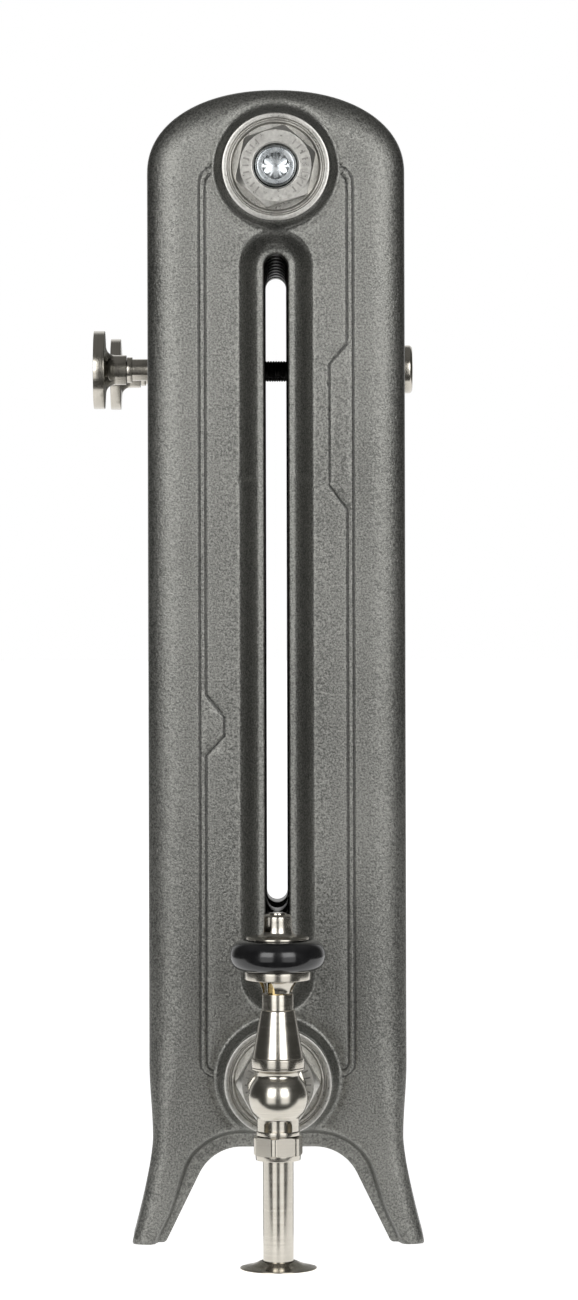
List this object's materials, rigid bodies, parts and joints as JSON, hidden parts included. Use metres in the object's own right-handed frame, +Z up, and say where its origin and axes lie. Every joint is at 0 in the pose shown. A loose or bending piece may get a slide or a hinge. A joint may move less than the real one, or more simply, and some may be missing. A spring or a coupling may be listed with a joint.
{
  "type": "column radiator with valve",
  "caption": "Free-standing cast-iron column radiator with wall stays, hexagon end bushes, a bleed plug and an angled valve with a round handwheel, pipe sleeve and floor plate.",
  "frame": {"origin": "on the floor, under the middle of the whole object's box", "axes": "+X from the wall into the room, +Y along the radiator from the valve end to the far end, +Z up"},
  "size_m": [0.1844, 0.7142, 0.6338],
  "materials": {
    "cast_iron_body": "sandy matt dark metallic grey paint",
    "fitting_iron": "smooth satin grey",
    "bright_plug": "bright zinc plate",
    "satin_nickel": "satin nickel, finely turned",
    "gloss_black": "high gloss black",
    "black_steel": "black oxide, threaded",
    "nipple_steel": "machined",
    "copper_pipe": "drawn copper",
    "inner_brass": "machined",
    "inner_steel": "ground",
    "rubber_seal": "matt"
  },
  "bodies": {
    "radiator": {"section_1_foot": "cast_iron_body", "section_2": "cast_iron_body", "section_3": "cast_iron_body", "section_4": "cast_iron_body", "section_5": "cast_iron_body", "section_6": "cast_iron_body", "section_7": "cast_iron_body", "section_8": "cast_iron_body", "section_9_foot": "cast_iron_body", "nipple_top_1": "nipple_steel", "nipple_top_2": "nipple_steel", "nipple_top_3": "nipple_steel", "nipple_top_4": "nipple_steel", "nipple_top_5": "nipple_steel", "nipple_top_6": "nipple_steel", "nipple_top_7": "nipple_steel", "nipple_top_8": "nipple_steel", "nipple_bottom_1": "nipple_steel", "nipple_bottom_2": "nipple_steel", "nipple_bottom_3": "nipple_steel", "nipple_bottom_4": "nipple_steel", "nipple_bottom_5": "nipple_steel", "nipple_bottom_6": "nipple_steel", "nipple_bottom_7": "nipple_steel", "nipple_bottom_8": "nipple_steel", "vent_bush": "fitting_iron", "vent_bush_gasket": "rubber_seal", "valve_bush": "fitting_iron", "valve_bush_gasket": "rubber_seal", "far_top_plug": "fitting_iron", "far_top_plug_gasket": "rubber_seal", "return_bush": "fitting_iron", "return_bush_gasket": "rubber_seal", "stay_wall_plate_near": "satin_nickel", "stay_sleeve_near": "satin_nickel", "stay_rod_near": "black_steel", "stay_front_nut_near": "satin_nickel", "stay_wall_plate_far": "satin_nickel", "stay_sleeve_far": "satin_nickel", "stay_rod_far": "black_steel", "stay_front_nut_far": "satin_nickel", "valve_body": "satin_nickel", "union_nut": "satin_nickel", "union_tailpiece": "satin_nickel", "compression_nut": "satin_nickel", "pipe_sleeve": "satin_nickel", "valve_bonnet": "satin_nickel", "supply_pipe": "copper_pipe", "olive": "inner_brass", "gland_nut": "inner_brass", "return_spring": "inner_steel"},
    "wheel": {"wheel_carrier": "satin_nickel", "handwheel_ring": "gloss_black", "wheel_cap": "satin_nickel"},
    "stem": {"valve_spindle": "inner_steel", "valve_disc": "inner_brass", "sensor_capsule": "inner_brass"},
    "bleed_plug": {"vent_plug": "bright_plug", "vent_plug_o_ring": "rubber_seal"},
    "pipe_plate": {"floor_plate": "satin_nickel"}
  },
  "joints": [
    {"name": "wheel_turn", "type": "hinge", "parent": "radiator", "child": "wheel", "pos_m": [0.01175, -0.33145, 0.167], "axis": [0, 0, 1], "range_deg": [0, 300]},
    {"name": "stem_lift", "type": "slide", "parent": "radiator", "child": "stem", "axis": [0, 0, 1], "range_m": [0, 0.0026], "deforming": ["return_spring"]},
    {"name": "vent_turn", "type": "hinge", "parent": "radiator", "child": "bleed_plug", "pos_m": [0.01175, -0.25555, 0.5908], "axis": [0, -1, 0], "range_deg": [0, 360]},
    {"name": "plate_lift", "type": "slide", "parent": "radiator", "child": "pipe_plate", "axis": [0, 0, 1], "range_m": [0, 0.045]}
  ],
  "couplings": [
    {"joint": "stem_lift", "follows": "wheel_turn", "m_per_rad": 0.00047746}
  ]
}
